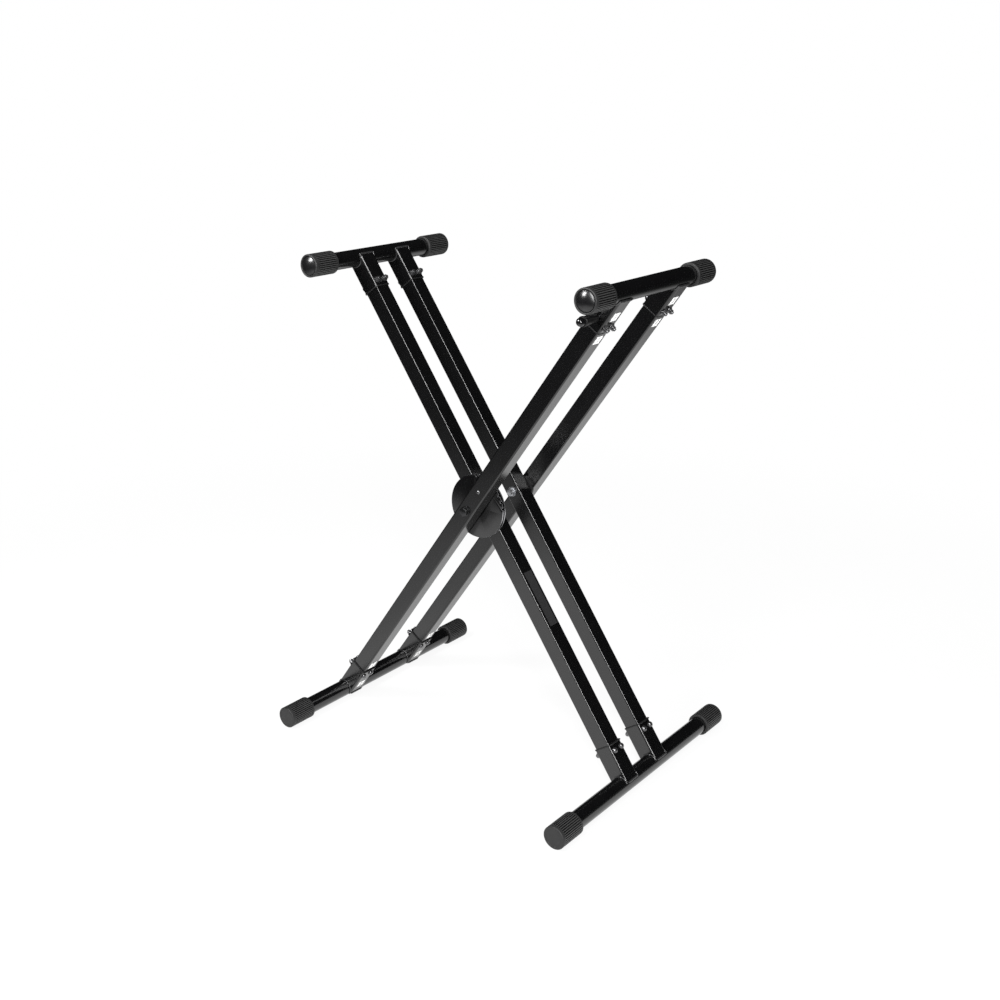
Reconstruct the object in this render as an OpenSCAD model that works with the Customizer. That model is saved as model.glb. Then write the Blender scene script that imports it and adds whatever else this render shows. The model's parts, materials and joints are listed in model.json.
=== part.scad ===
// Folding keyboard stand: two crossed pairs of square legs on a pivot, four round crossbars
// with rubber end caps, a toothed lock plate and a pull trigger under one top crossbar.
// The origin is on the floor under the middle of the stand. X runs across the scissor,
// Y runs along the crossbars, away from the trigger, and Z is up. Lengths are in millimetres.

/* [Stance] */
// Notch that the lock pawl stands over, counted from the tallest setting
rest_notch = 3; // [0:1:7]
// Angle between the legs at the tallest setting, in degrees
first_notch_angle = 34; // [28:0.5:40]
// Angle from one notch to the next, in degrees
notch_pitch = 12; // [9:0.5:14]
// Number of notches in the lock plate
notch_count = 8; // [4:1:8]

/* [Legs] */
// Pivot to the axis of a top crossbar
upper_len = 480; // [420:5:560]
// Pivot to the axis of a bottom crossbar
lower_len = 520; // [440:5:600]
// Distance between the middles of the two outer tubes
outer_spread = 167; // [140:1:220]
// Outside width of a square leg tube
tube_w = 30; // [26:0.5:34]
// Wall of a leg tube
tube_wall = 1.5; // [1:0.1:2.5]
// Outside corner radius of a leg tube
tube_corner = 2.5; // [1.5:0.25:3]

/* [Crossbars] */
// Outside diameter of a crossbar
bar_d = 30; // [27:0.5:32]
// Wall of a crossbar
bar_wall = 1.5; // [1:0.1:2.5]
// Middle of an outer tube to the end of the top crossbar's cap
top_overhang = 88.5; // [80:0.5:120]
// Middle of an outer tube to the end of the bottom crossbar's cap
bottom_overhang = 169.5; // [140:0.5:220]

/* [Stubs] */
// Wall of the welded stub that a leg tube slides into
stub_wall = 1.6; // [1.2:0.1:2.5]
// Clearance between a stub and its leg tube
stub_slip = 0.1; // [0.05:0.05:0.3]
// Top crossbar axis to the mouth of its stubs
top_stub_len = 63; // [60:1:80]
// Bottom crossbar axis to the mouth of its stubs
bottom_stub_len = 66.5; // [62:0.5:84]
// How far a leg tube goes into a stub
insert_len = 36; // [28:1:40]
// Thickness of the plastic collar at a stub's mouth
collar_t = 2; // [1:0.25:3]
// How far a collar stands out past its stub
collar_lip = 0.5; // [0.3:0.1:1.5]
// How far a bottom collar's tab stands out on the upper side
collar_tab = 3.6; // [2:0.2:5]
// Radius of a weld bead
weld_r = 2; // [1.2:0.1:2.4]

/* [Joint screws] */
// Thread diameter of a joint screw
screw_d = 5; // [4:0.5:6]
// Mouth of the stub to its screws
screw_inset = 10; // [9:0.5:14]
// Gap between a joint's outer screw and the tube's inside wall
screw_gap = 0.5; // [0.3:0.1:2]
// Gap between a joint's inner screw and the opposite wall
screw_far_gap = 2.5; // [0.5:0.1:4]
// Diameter of a domed screw head
head_d = 10.8; // [8:0.2:12]
// Height of a domed screw head
head_h = 4.8; // [3:0.2:6]
// Width across the flats of a joint nut
nut_w = 8; // [7:0.5:9]
// Height of a joint nut with its flange
nut_h = 6; // [4:0.2:7]
// Thickness of a joint nut's flange
nut_flange_t = 1.2; // [0.8:0.1:2]
// Thread that shows past a joint nut
thread_end = 2.4; // [1:0.2:4]

/* [End caps] */
// Outside diameter of a rubber cap
cap_d = 39; // [37:0.5:44]
// Length of a rubber cap
cap_len = 54; // [46:1:64]
// Number of grip ribs around a cap
cap_ribs = 36; // [24:1:44]
// Depth of the grooves between the ribs
rib_depth = 0.6; // [0.3:0.1:0.9]
// Outer end of a cap to its ribs
rib_start = 7; // [5:0.5:12]
// Inner end of a cap to its ribs
rib_stop = 4; // [3:0.5:8]
// Bevel round the outer end of a cap
cap_bevel = 1.8; // [1:0.1:2.6]
// Outer end of a domed cap to the end of its crossbar
dome_seat = 8; // [6.5:0.5:10]
// Wall of a flat cap's closed end
flat_end = 4; // [3:0.5:6]
// Diameter of the glossy dome in a top cap
dome_d = 30.8; // [28:0.2:32.4]
// Height of the glossy dome over its rim
dome_h = 5.4; // [3:0.2:6]
// Straight side of the dome under its rim
dome_side = 5; // [3:0.2:5.6]

/* [Pivot] */
// Diameter of the pivot bolts
bolt_d = 8; // [6:0.5:10]
// Width across the flats of a pivot bolt's head and nut
bolt_head_w = 13; // [12:0.5:16]
// Height of a pivot bolt's head
bolt_head_h = 5.3; // [4:0.1:7]
// Height of a pivot bolt's nut
pivot_nut_h = 6.8; // [5:0.1:8]
// Diameter of a pivot washer
washer_d = 17; // [16.5:0.5:20]
// Thickness of a pivot washer
washer_t = 1.6; // [1:0.1:2.5]
// Gap between faces that turn on each other
run_gap = 0.2; // [0.1:0.05:0.3]
// Diameter of the lock plates
plate_d = 110; // [96:1:120]
// Thickness of the toothed lock plate
teeth_t = 2.4; // [2:0.2:4]
// Thickness of the backing plate
back_t = 2.5; // [2:0.1:5]
// Gap at the rim between the lock plate and the backing plate
plate_gap = 3.4; // [2:0.1:5]
// Depth of that gap from the rim
plate_gap_depth = 9; // [6:0.5:20]
// Width of a notch
notch_w = 3.2; // [2.6:0.1:5.2]
// Depth of a notch
notch_depth = 3.4; // [2.8:0.2:7]
// Diameter of the washer between the outer tube and the lock plate
plate_washer_d = 26; // [20:1:30]
// Thickness of that washer
plate_washer_t = 1; // [0.6:0.1:2]
// Diameter of the far pivot's spacer
spacer_d = 40; // [30:1:46]
// Thickness of the far pivot's spacer
spacer_t = 5.3; // [4:0.1:8]

/* [Lock] */
// Travel of the trigger
trigger_travel = 8; // [6:0.5:10]
// Joint screws to the trigger block at rest
trigger_gap = 1.9; // [0.5:0.1:3]
// Diameter of the trigger's shank
shank_d = 6; // [5:0.5:7]
// Grip diameter beside the leg
grip_inner_d = 11; // [10:0.5:14]
// Grip diameter beside the ball
grip_outer_d = 16.4; // [14:0.2:18]
// Length of the grip
grip_len = 38; // [30:1:46]
// Diameter of the ball end
ball_d = 13.6; // [12:0.2:16]
// Diameter of the pull rod
rod_d = 5; // [4:0.5:6]
// Rim of the lock plates to the stop rivet, towards the pivot
rivet_inset = 7.3; // [5.5:0.1:12]
// Diameter of the stop rivet
rivet_d = 4; // [3:0.5:5]
// Diameter of the stop rivet's head
rivet_head_d = 7; // [6:0.5:9]
// Height of the lock pawl
pawl_h = 16; // [14:0.5:20]
// Wire of the return spring
spring_wire = 1.2; // [0.8:0.1:1.6]
// Outside diameter of the return spring
spring_d = 11; // [9:0.5:13]
// Length of the return spring at rest
spring_len = 38; // [30:1:50]
// Turns of the return spring
spring_turns = 8; // [5:1:10]

/* [Labels] */
// Side of a square sticker
sticker_w = 15.5; // [10:0.5:20]
// Top crossbar axis to the sticker on its stub
top_sticker_drop = 32.5; // [30:0.5:36]
// Bottom crossbar axis to the sticker on its stub
bottom_sticker_drop = 25; // [24:0.5:36]
// Mouth of a stub to the middle of the sticker on its tube
sticker_gap = 17; // [14:0.5:40]
// Thickness of a sticker or label
label_t = 0.25; // [0.15:0.05:0.5]
// Length of the bare label on the inner leg
label_len = 99; // [60:1:140]
// Width of the bare label on the inner leg
label_w = 19; // [12:1:22]
// Pivot to the near end of the bare label
label_start = 136; // [90:1:180]

/* [Hidden] */
$fn = 64;

// Sides of the stand: the outer leg leans to +X at the top, the inner leg to -X
outer = -1;
inner = 1;
top = 1;
bottom = -1;
near = -1;
far = 1;

// Overrun of every cut
cut = 1;
// Clearance of pieces that are fixed on each other, and of shafts that turn or slide
seat_gap = 0.02;
shaft_gap = 0.05;
rod_gap = 0.08;
// Clearance of pieces that slide in a tube, and of the pawl over the teeth
slide_gap = 0.3;

// Angle between the legs as the stand is drawn, and the height of the pivot
open_angle = first_notch_angle + rest_notch * notch_pitch;
cap_r = cap_d / 2;
pivot_z = cap_r + lower_len * cos(open_angle / 2);

// Radii and widths that follow from the driving sizes
bar_r = bar_d / 2;
bolt_r = bolt_d / 2;
screw_r = screw_d / 2;
shank_r = shank_d / 2;
rod_r = rod_d / 2;
rivet_r = rivet_d / 2;
plate_r = plate_d / 2;
tube_in = tube_w - 2 * tube_wall;
tube_in_corner = tube_corner / 4;
stub_in = tube_w + 2 * stub_slip;
stub_w = stub_in + 2 * stub_wall;
stub_corner = tube_corner + stub_wall;

// Depths of the four leg tubes, from the stack of plates and the spacer between them
plate_stack = plate_washer_t + run_gap + teeth_t + plate_gap + back_t;
outer_near_y = -outer_spread / 2;
outer_far_y = outer_spread / 2;
inner_near_y = outer_near_y + tube_w + plate_stack;
inner_far_y = outer_far_y - tube_w - spacer_t - run_gap;

// Depths of the stack's faces
plate_washer_y = outer_near_y + tube_w / 2;
teeth_y = plate_washer_y + plate_washer_t + run_gap;
back_y = teeth_y + teeth_t;
spacer_y = outer_far_y - tube_w / 2 - spacer_t;

// Details of the screws and nuts
socket_w = screw_d * 0.6;
socket_deep = head_h * 0.55;
nut_flange_d = nut_w * 1.42;

// Details of the caps and domes
rib_groove_r = cap_d * 0.026;
cap_lip_d = dome_d * 1.052;
dome_flange_d = dome_d * 1.078;
dome_flange_t = dome_seat * 0.25;
dome_stem_len = cap_len * 0.3;
cap_inner_bevel = cap_bevel * 0.6;
rim_share = 0.8;
rim_chamfer = (cap_r - cap_bevel - cap_lip_d / 2) * rim_share;

// Places along the outer near tube
block_h = shank_d * 2;
block_z = upper_len - top_stub_len + screw_inset + screw_r + trigger_gap;
trigger_z = block_z + slide_gap * 2 + shank_r;
block_w = tube_in - 2 * slide_gap;
shank_share = 0.8;
grip_start = stub_w / 2 + slide_gap * 2;
ball_y = grip_start + grip_len + ball_d * 0.28;
rivet_z = plate_r - rivet_inset;
pawl_z = rivet_z + rivet_r + slide_gap;
nose_z = plate_r + slide_gap;
nose_top = pawl_z + pawl_h - slide_gap;
nose_w = notch_w - 2 * slide_gap;
nose_end = tube_w / 2 + plate_washer_t + run_gap + teeth_t;
spring_z = pawl_z + pawl_h;
seat_z = spring_z + spring_len;
seat_h = rod_d * 1.8;

// Colours
powder_black = [0.05, 0.05, 0.055];
rubber_black = [0.1, 0.1, 0.1];
gloss_black = [0.02, 0.02, 0.02];
zinc_black = [0.16, 0.16, 0.17];
bright_zinc = [0.62, 0.63, 0.65];
plastic_black = [0.04, 0.04, 0.04];
label_grey = [0.16, 0.16, 0.16];
sticker_white = [0.92, 0.92, 0.9];

// Where a leg's end is, and where its stub opens, along the leg from the pivot
function bar_z(end) = end == top ? upper_len : -lower_len;
function stub_len(end) = end == top ? top_stub_len : bottom_stub_len;
function mouth_z(end) = bar_z(end) - end * stub_len(end);
function screw_z(end) = mouth_z(end) + end * screw_inset;
function screw_y(leg, y, s) =
    y + leg * s * (tube_in / 2 - screw_r - (s == far ? screw_gap : screw_far_gap));
function bar_seat(end) = end == top ? dome_seat : flat_end;
function span(end) = outer_spread + 2 * (end == top ? top_overhang : bottom_overhang);
function tube_y(leg, side) =
    leg == outer ? (side == near ? outer_near_y : outer_far_y)
                 : (side == near ? inner_near_y : inner_far_y);

// Places children on a leg. On a leg, x points to its upper side and z runs up along it
module on_leg(leg) {
    if (leg == outer) mirror([1, 0, 0]) lean() children();
    else lean() children();
}

module lean() {
    translate([0, 0, pivot_z]) rotate([0, -open_angle / 2, 0]) children();
}

// A square with round corners, centred
module round_square(w, r) {
    square([w, w - 2 * r], center = true);
    square([w - 2 * r, w], center = true);
    for (x = [-1, 1], y = [-1, 1]) translate([x * (w / 2 - r), y * (w / 2 - r)]) circle(r);
}

// A cylinder along +Y
module rod_y(r, len) {
    rotate([-90, 0, 0]) cylinder(r = r, h = len);
}

// A cylinder along +X
module rod_x(r, len) {
    rotate([0, 90, 0]) cylinder(r = r, h = len);
}

// A hexagonal prism along +Y, given its width across the flats
module hex_y(w, len) {
    rotate([-90, 0, 0]) cylinder(d = w / cos(30), h = len, $fn = 6);
}

// A slot cutter that runs through a wall along Y, from z0 to z1
module slot_y(w, z0, z1, len) {
    translate([-w / 2, 0, z0 + w / 2]) cube([w, len, z1 - z0 - w]);
    for (z = [z0 + w / 2, z1 - w / 2]) translate([0, 0, z]) rod_y(w / 2, len);
}

// Holes for the two screws of a joint
module joint_holes(leg, y, end) {
    for (s = [near, far])
        translate([-stub_w / 2 - cut, screw_y(leg, y, s), screw_z(end)])
            rod_x(screw_r + seat_gap, stub_w + 2 * cut);
}

// Hole for a pivot bolt through a leg tube
module pivot_hole(y, r) {
    translate([0, y - tube_w / 2 - cut, 0]) rod_y(r, tube_w + 2 * cut);
}

module leg_tube(leg, side) {
    y = tube_y(leg, side);
    low = mouth_z(bottom) - insert_len;
    high = mouth_z(top) + insert_len;
    color(powder_black) difference() {
        translate([0, y, low]) linear_extrude(high - low) round_square(tube_w, tube_corner);
        translate([0, y, low - cut]) linear_extrude(high - low + 2 * cut)
            round_square(tube_in, tube_in_corner);
        joint_holes(leg, y, top);
        joint_holes(leg, y, bottom);
        pivot_hole(y, bolt_r + shaft_gap);
        if (leg == outer && side == near) {
            trigger_slot(y - tube_w / 2 - cut, tube_wall + 2 * cut);
            pawl_slot();
            translate([0, y - tube_w / 2 - cut, rivet_z]) rod_y(rivet_r + seat_gap, tube_w + 2 * cut);
        }
    }
}

module trigger_slot(y, len) {
    w = shank_d + 2 * slide_gap;
    translate([0, y, 0]) slot_y(w, trigger_z - w / 2, trigger_z + trigger_travel + w / 2, len);
}

module pawl_slot() {
    w = nose_w + 2 * slide_gap;
    translate([-w / 2, outer_near_y + tube_w / 2 - tube_wall - cut, nose_z - slide_gap])
        cube([w, tube_wall + 2 * cut, nose_top - nose_z + trigger_travel + 2 * slide_gap]);
}

// The solid of a crossbar, for the bar and for what is cut to fit it
module bar_solid(end, r, grow) {
    half = span(end) / 2 - bar_seat(end) + grow;
    translate([0, -half, bar_z(end)]) rod_y(r, 2 * half);
}

module crossbar(end) {
    color(powder_black) difference() {
        bar_solid(end, bar_r, 0);
        bar_solid(end, bar_r - bar_wall, cut);
    }
}

module stub(leg, side, end) {
    y = tube_y(leg, side);
    low = min(mouth_z(end), bar_z(end));
    color(powder_black) difference() {
        translate([0, y, low]) linear_extrude(stub_len(end)) round_square(stub_w, stub_corner);
        translate([0, y, low - cut]) linear_extrude(stub_len(end) + 2 * cut)
            round_square(stub_in, tube_corner + stub_slip);
        bar_solid(end, bar_r + seat_gap, 0);
        joint_holes(leg, y, end);
        if (leg == outer && side == near && end == top)
            trigger_slot(y - stub_w / 2 - cut, (stub_w - stub_in) / 2 + 2 * cut);
    }
}

module collar(leg, side, end) {
    y = tube_y(leg, side);
    w = stub_w + 2 * collar_lip;
    low = end == top ? mouth_z(end) - collar_t : mouth_z(end);
    color(plastic_black) difference() {
        union() {
            translate([0, y, low]) linear_extrude(collar_t) round_square(w, stub_corner);
            if (end == bottom)
                translate([0, y - w / 2 + stub_corner, low])
                    cube([stub_w / 2 + collar_tab, w - 2 * stub_corner, collar_t]);
        }
        translate([0, y, low - cut]) linear_extrude(collar_t + 2 * cut)
            round_square(tube_w + 2 * seat_gap, tube_corner);
    }
}

// The weld between a stub and its crossbar: a bead along each narrow face and round each wide one
module weld(leg, side, end) {
    y = tube_y(leg, side);
    bead_len = stub_w - 2 * tube_corner;
    arc_r = weld_r * 0.7;
    color(powder_black) difference() {
        union() {
            for (x = [-1, 1])
                translate([x * stub_w / 2, y - bead_len / 2, bar_z(end) - end * weld_r * 0.4])
                    rod_y(weld_r, bead_len);
            for (s = [near, far])
                translate([0, y + s * stub_w / 2, bar_z(end)]) rotate([-90, end == top ? 0 : 180, 0])
                    rotate_extrude(angle = 180) translate([bar_r + arc_r * 0.5, 0]) circle(arc_r);
        }
        bar_solid(end, bar_r + seat_gap, 0);
        translate([0, y, min(mouth_z(end), bar_z(end))]) linear_extrude(stub_len(end))
            round_square(stub_w + 2 * seat_gap, stub_corner);
    }
}

// Turns a joint's screws over: their heads are under the inner leg's top joints and over its bottom ones,
// and the other way round on the outer leg
module heads(leg, end) {
    if (leg == end) mirror([1, 0, 0]) children();
    else children();
}

// A domed screw with a hexagonal socket, its head towards +X
module joint_screw(y, end) {
    dome_r = (pow(head_d / 2, 2) + pow(head_h, 2)) / (2 * head_h);
    thread_len = stub_w + nut_h + thread_end;
    color(zinc_black) translate([stub_w / 2, y, screw_z(end)]) difference() {
        union() {
            intersection() {
                translate([head_h - dome_r, 0, 0]) rotate([0, 90, 0]) sphere(dome_r, $fn = 32);
                rod_x(head_d / 2, head_h, $fn = 32);
            }
            translate([-thread_len, 0, 0]) rod_x(screw_r, thread_len + seat_gap, $fn = 32);
        }
        translate([head_h - socket_deep, 0, 0]) rotate([0, 90, 0])
            cylinder(d = socket_w / cos(30), h = socket_deep + cut, $fn = 6);
    }
}

module joint_nut(y, end) {
    color(zinc_black) translate([-stub_w / 2 - nut_h, y, screw_z(end)]) difference() {
        union() {
            rotate([0, 90, 0]) cylinder(d = nut_w / cos(30), h = nut_h, $fn = 6);
            translate([nut_h - nut_flange_t, 0, 0]) rod_x(nut_flange_d / 2, nut_flange_t);
        }
        translate([-cut, 0, 0]) rod_x(screw_r + seat_gap, nut_h + 2 * cut);
    }
}

// The small parts of a leg's four joints
module leg_collars(leg) {
    on_leg(leg) for (side = [near, far], end = [top, bottom]) collar(leg, side, end);
}

module leg_welds(leg) {
    on_leg(leg) for (side = [near, far], end = [top, bottom]) weld(leg, side, end);
}

module leg_screws(leg) {
    on_leg(leg) for (side = [near, far], end = [top, bottom], s = [near, far])
        heads(leg, end) joint_screw(screw_y(leg, tube_y(leg, side), s), end);
}

module leg_nuts(leg) {
    on_leg(leg) for (side = [near, far], end = [top, bottom], s = [near, far])
        heads(leg, end) joint_nut(screw_y(leg, tube_y(leg, side), s), end);
}

// Puts a cap or dome, drawn along +Z from its outer end at zero, on one end of a crossbar
module on_bar_end(end, side) {
    translate([0, side * span(end) / 2, bar_z(end)]) rotate([side * 90, 0, 0]) children();
}

module cap_ribs_cut() {
    for (i = [0:cap_ribs - 1]) rotate([0, 0, i * 360 / cap_ribs])
        translate([cap_r + rib_groove_r - rib_depth, 0, rib_start])
            cylinder(r = rib_groove_r, h = cap_len - rib_start - rib_stop, $fn = 24);
}

// Rubber cap with an open end that holds the dome
module domed_cap() {
    bore = bar_r + seat_gap;
    lip = cap_lip_d / 2;
    step = dome_flange_d / 2 + seat_gap;
    shelf = dome_seat - dome_flange_t - seat_gap;
    color(rubber_black) difference() {
        rotate_extrude() polygon([
            [lip + rim_chamfer, 0], [cap_r - cap_bevel, 0], [cap_r, cap_bevel],
            [cap_r, cap_len - cap_inner_bevel], [cap_r - cap_inner_bevel, cap_len], [bore, cap_len],
            [bore, dome_seat], [step, dome_seat], [step, shelf], [lip, shelf], [lip, rim_chamfer]
        ]);
        cap_ribs_cut();
    }
}

// Rubber cap with a closed flat end, the stand's foot
module flat_cap() {
    bore = bar_r + seat_gap;
    color(rubber_black) difference() {
        rotate_extrude() polygon([
            [0, 0], [cap_r - cap_bevel, 0], [cap_r, cap_bevel], [cap_r, cap_len - cap_inner_bevel],
            [cap_r - cap_inner_bevel, cap_len], [bore, cap_len], [bore, flat_end], [0, flat_end]
        ]);
        cap_ribs_cut();
    }
}

module dome_plug() {
    dome_r = (pow(dome_d / 2, 2) + pow(dome_h, 2)) / (2 * dome_h);
    base = dome_seat - dome_flange_t;
    rim = base - dome_side;
    color(gloss_black) union() {
        intersection() {
            translate([0, 0, rim - dome_h + dome_r]) sphere(dome_r, $fn = 96);
            translate([0, 0, rim - dome_h]) cylinder(d = dome_d, h = dome_h + dome_side + dome_flange_t / 2);
        }
        translate([0, 0, base]) cylinder(d = dome_flange_d, h = dome_flange_t - seat_gap);
        translate([0, 0, base]) cylinder(r = bar_r - bar_wall - rod_gap, h = dome_flange_t + dome_stem_len);
    }
}

// Steel sleeves inside the leg tubes, round the pivot bolts
module pivot_bushings(leg) {
    color(bright_zinc) on_leg(leg) for (side = [near, far])
        translate([0, tube_y(leg, side) - tube_in / 2 + seat_gap, 0]) difference() {
            rod_y(bolt_r + tube_wall + shaft_gap, tube_in - 2 * seat_gap);
            translate([0, -cut, 0]) rod_y(bolt_r + shaft_gap, tube_in + 2 * cut);
        }
}

module toothed_plate() {
    color(powder_black) on_leg(inner) translate([0, teeth_y, 0]) difference() {
        rod_y(plate_r, teeth_t);
        translate([0, -cut, 0]) rod_y(bolt_r + shaft_gap, teeth_t + 2 * cut);
        for (i = [0:notch_count - 1]) rotate([0, first_notch_angle + i * notch_pitch, 0]) notch();
    }
}

module notch() {
    root = plate_r - notch_depth + notch_w / 2;
    translate([-notch_w / 2, -cut, root]) cube([notch_w, teeth_t + 2 * cut, notch_depth + cut]);
    translate([0, -cut, root]) rod_y(notch_w / 2, teeth_t + 2 * cut);
}

module backing_plate() {
    hub_r = plate_r - plate_gap_depth;
    color(powder_black) on_leg(inner) translate([0, back_y, 0]) difference() {
        union() {
            rod_y(hub_r, plate_gap + back_t / 2);
            translate([0, plate_gap, 0]) rod_y(plate_r, back_t);
        }
        translate([0, -cut, 0]) rod_y(bolt_r + shaft_gap, plate_gap + back_t + 2 * cut);
    }
}

// A pivot bolt along +Y, its head outside the first face and its thread past the nut
module pivot_bolt(y_face, grip) {
    color(zinc_black) on_leg(outer) translate([0, y_face, 0]) {
        translate([0, -bolt_head_h, 0]) hex_y(bolt_head_w, bolt_head_h);
        rod_y(bolt_r, grip + pivot_nut_h + thread_end);
    }
}

module pivot_nut(y_face) {
    color(zinc_black) on_leg(outer) translate([0, y_face, 0]) difference() {
        hex_y(bolt_head_w, pivot_nut_h);
        translate([0, -cut, 0]) rod_y(bolt_r + seat_gap, pivot_nut_h + 2 * cut);
    }
}

// Faces that the pivot bolts' heads and nuts bear on, washers included
near_head_y = outer_near_y - tube_w / 2 - washer_t;
near_nut_y = inner_near_y + tube_w / 2 + run_gap + washer_t;
far_head_y = inner_far_y - tube_w / 2 - run_gap - washer_t;
far_nut_y = outer_far_y + tube_w / 2 + washer_t;

// A flat washer on a pivot bolt
module ring_y(d, t) {
    difference() {
        rod_y(d / 2, t);
        translate([0, -cut, 0]) rod_y(bolt_r + seat_gap, t + 2 * cut);
    }
}

module pivot_washers() {
    color(zinc_black) on_leg(outer)
        for (y = [near_head_y, near_nut_y - washer_t, far_head_y, far_nut_y - washer_t])
            translate([0, y, 0]) ring_y(washer_d, washer_t);
}

module plate_washer() {
    color(bright_zinc) on_leg(outer)
        translate([0, plate_washer_y, 0]) ring_y(plate_washer_d, plate_washer_t);
}

module far_spacer() {
    color(plastic_black) on_leg(outer) translate([0, spacer_y, 0]) ring_y(spacer_d, spacer_t);
}

// Rivet that stops the pawl; its head is on the near face and its tail is flush
module stop_rivet() {
    rivet_head_h = rivet_head_d * 0.28;
    dome_r = (pow(rivet_head_d / 2, 2) + pow(rivet_head_h, 2)) / (2 * rivet_head_h);
    color(zinc_black) on_leg(outer) translate([0, outer_near_y - tube_w / 2, rivet_z]) {
        rod_y(rivet_r, tube_w);
        intersection() {
            translate([0, dome_r - rivet_head_h, 0]) rotate([-90, 0, 0]) sphere(dome_r);
            translate([0, -rivet_head_h, 0]) rod_y(rivet_head_d / 2, rivet_head_h);
        }
    }
}

// Places children on the outer near tube's own axis
module on_lock() {
    on_leg(outer) translate([0, outer_near_y, 0]) children();
}

module lock_pawl() {
    color(bright_zinc) on_lock() difference() {
        union() {
            translate([-block_w / 2, -block_w / 2, pawl_z]) cube([block_w, block_w, pawl_h]);
            translate([-nose_w / 2, 0, nose_z]) cube([nose_w, nose_end, nose_top - nose_z]);
        }
        translate([0, 0, pawl_z + pawl_h / 2]) cylinder(r = rod_r + seat_gap, h = pawl_h);
    }
}

module pull_rod() {
    low = pawl_z + pawl_h / 2;
    color(bright_zinc) on_lock() translate([0, 0, low]) cylinder(r = rod_r, h = block_z + slide_gap - low);
}

module spring_seat() {
    color(plastic_black) on_lock() translate([0, 0, seat_z]) difference() {
        linear_extrude(seat_h) round_square(tube_in - 2 * seat_gap, tube_in_corner);
        translate([0, 0, -cut]) cylinder(r = rod_r + rod_gap, h = seat_h + 2 * cut);
    }
}

// The coiled return spring: rings of points along a helix, joined into one closed tube
spring_sides = 8;
spring_steps = 20;
spring_rings = spring_turns * spring_steps;
spring_rise = spring_len - spring_wire - 2 * slide_gap;
spring_coil_r = (spring_d - spring_wire) / 2;
function spring_point(i, j) =
    let (turn = 360 * i / spring_steps,
         side = 360 * j / spring_sides,
         r = spring_coil_r + spring_wire / 2 * cos(side))
    [r * cos(turn), r * sin(turn),
     spring_wire / 2 + slide_gap + spring_rise * i / spring_rings + spring_wire / 2 * sin(side)];

module return_spring() {
    points = [for (i = [0:spring_rings], j = [0:spring_sides - 1]) spring_point(i, j)];
    walls = [for (i = [0:spring_rings - 1], j = [0:spring_sides - 1])
        let (a = i * spring_sides + j, b = i * spring_sides + (j + 1) % spring_sides)
        each [[a, b, b + spring_sides], [a, b + spring_sides, a + spring_sides]]];
    first = [for (j = [1:spring_sides - 2]) [0, j + 1, j]];
    base = spring_rings * spring_sides;
    last = [for (j = [1:spring_sides - 2]) [base, base + j, base + j + 1]];
    faces = concat(walls, first, last);
    color(bright_zinc) on_lock() translate([0, 0, spring_z]) polyhedron(points, faces);
}

module trigger_block() {
    color(plastic_black) on_lock() difference() {
        translate([-block_w / 2, -block_w / 2, block_z]) cube([block_w, block_w, block_h]);
        translate([0, -block_w / 2 - cut, trigger_z]) rod_y(shank_r + seat_gap, block_w * shank_share + cut);
        translate([0, 0, block_z - cut]) cylinder(r = rod_r + seat_gap, h = slide_gap + cut + seat_gap);
    }
}

module trigger_shank() {
    color(bright_zinc) on_lock() translate([0, -ball_y, trigger_z])
        rod_y(shank_r, ball_y - block_w / 2 + block_w * shank_share);
}

module trigger_grip() {
    color(rubber_black) on_lock() translate([0, -grip_start - grip_len, trigger_z]) rotate([-90, 0, 0])
        difference() {
            cylinder(d1 = grip_outer_d, d2 = grip_inner_d, h = grip_len);
            translate([0, 0, -cut]) cylinder(r = shank_r + seat_gap, h = grip_len + 2 * cut);
        }
}

module trigger_ball() {
    color(gloss_black) on_lock() translate([0, -ball_y, trigger_z]) difference() {
        intersection() {
            rotate([-90, 0, 0]) sphere(d = ball_d);
            translate([0, -ball_d / 2, 0]) rod_y(ball_d / 2, ball_y - grip_start - grip_len + ball_d / 2);
        }
        rod_y(shank_r + seat_gap, ball_d);
    }
}

module sticker(w, y, z) {
    translate([-w / 2 - label_t, y - sticker_w / 2, z - sticker_w / 2])
        cube([label_t, sticker_w, sticker_w]);
}

// Bare stickers on the underside of the outer leg, on each side of every joint
module stickers() {
    color(sticker_white) on_leg(outer) for (side = [near, far], end = [top, bottom]) {
        y = tube_y(outer, side);
        sticker(stub_w, y, bar_z(end) - end * (end == top ? top_sticker_drop : bottom_sticker_drop));
        sticker(tube_w, y, mouth_z(end) - end * sticker_gap);
    }
}

// Bare label on the upper face of the inner near tube
module inner_label() {
    color(label_grey) on_leg(inner)
        translate([tube_w / 2, inner_near_y - label_w / 2, -label_start - label_len])
            cube([label_t, label_w, label_len]);
}

on_leg(outer) leg_tube(outer, near);  // outer_near_tube
on_leg(outer) leg_tube(outer, far);  // outer_far_tube
on_leg(outer) crossbar(top);  // outer_top_crossbar
on_leg(outer) crossbar(bottom);  // outer_bottom_crossbar
on_leg(outer) stub(outer, near, top);  // outer_top_near_stub
on_leg(outer) stub(outer, far, top);  // outer_top_far_stub
on_leg(outer) stub(outer, near, bottom);  // outer_bottom_near_stub
on_leg(outer) stub(outer, far, bottom);  // outer_bottom_far_stub
leg_collars(outer);  // outer_collars
leg_welds(outer);  // outer_welds
leg_screws(outer);  // outer_joint_screws
leg_nuts(outer);  // outer_joint_nuts
stickers();  // outer_stickers
on_leg(outer) on_bar_end(top, near) domed_cap();  // outer_top_near_cap
on_leg(outer) on_bar_end(top, far) domed_cap();  // outer_top_far_cap
on_leg(outer) on_bar_end(bottom, near) flat_cap();  // outer_bottom_near_cap
on_leg(outer) on_bar_end(bottom, far) flat_cap();  // outer_bottom_far_cap
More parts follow.
